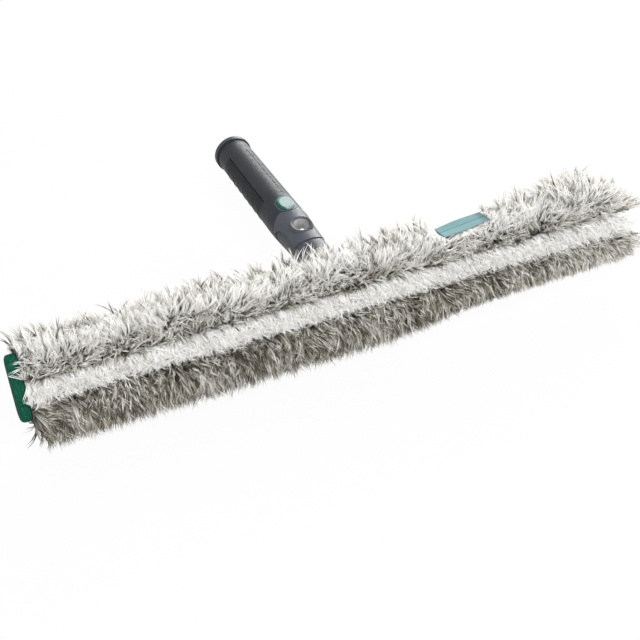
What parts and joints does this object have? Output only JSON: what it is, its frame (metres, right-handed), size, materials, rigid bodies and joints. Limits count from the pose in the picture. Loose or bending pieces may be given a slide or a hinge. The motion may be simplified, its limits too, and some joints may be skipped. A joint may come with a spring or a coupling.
{
  "type": "window scrubber",
  "caption": "Window scrubber with a tubular handle, a pole socket with a push-button lock and a swivelling T-bar in a long-pile washing sleeve with scouring pads at its ends.",
  "frame": {"origin": "centre of the pole socket's mouth, at the free end of the handle", "axes": "+Y points out of the socket's mouth, +X along the T-bar, +Z out of the round badge"},
  "size_m": [0.485, 0.2459, 0.0727],
  "materials": {
    "handle_plastic": "satin charcoal",
    "collar_plastic": "satin charcoal",
    "grip_rubber": "matt soft grip",
    "cover_plastic": "satin slate grey",
    "badge_chrome": "bright plated, bare",
    "fastener_steel": "zinc plated",
    "washer_plastic": "natural acetal",
    "button_plastic": "semi-gloss pale green",
    "bezel_plastic": "satin grey",
    "neck_plastic": "satin mid grey",
    "bar_aluminium": "mill finish",
    "plug_plastic": "matt black",
    "backing_cloth": "woven",
    "pile_grey": "long mixed grey pile",
    "pile_white": "dense white pile",
    "closure_tape": "hook and loop",
    "pad_felt": "dark green scouring fleece",
    "label_cloth": "woven pale teal, bare"
  },
  "bodies": {
    "handle": {"handle_body": "handle_plastic", "end_collar": "collar_plastic", "grip_overmould": "grip_rubber", "front_cover": "cover_plastic", "badge_disc": "badge_chrome", "rear_cap": "handle_plastic", "pivot_bolt": "fastener_steel", "pivot_nut": "fastener_steel", "button_bezel": "bezel_plastic", "lock_spring": "fastener_steel"},
    "pole_lock": {"pole_lock_button": "button_plastic", "lock_plate": "fastener_steel"},
    "t_bar": {"swivel_neck": "neck_plastic", "swivel_washers": "washer_plastic", "foot_screws": "fastener_steel", "bar_profile": "bar_aluminium", "nut_plate": "fastener_steel", "end_plug_left": "plug_plastic", "end_plug_right": "plug_plastic", "sleeve_backing": "backing_cloth", "pile_upper": "pile_grey", "pile_lower": "pile_grey", "pile_stripe": "pile_white", "closure_loop_strip": "closure_tape", "closure_hook_strip": "closure_tape", "closure_flap": "backing_cloth", "scrub_pad_left": "pad_felt", "scrub_pad_right": "pad_felt", "label_tab": "label_cloth"}
  },
  "joints": [
    {"name": "swivel", "type": "hinge", "parent": "handle", "child": "t_bar", "pos_m": [0, -0.139, 0], "axis": [0, 0, 1], "range_deg": [-90, 90]},
    {"name": "pole_lock_press", "type": "slide", "parent": "handle", "child": "pole_lock", "axis": [0, 0, -1], "range_m": [0, 0.0016], "stiffness_N_per_m": 2000, "springref_m": -0.0015, "deforming": ["lock_spring"]}
  ]
}
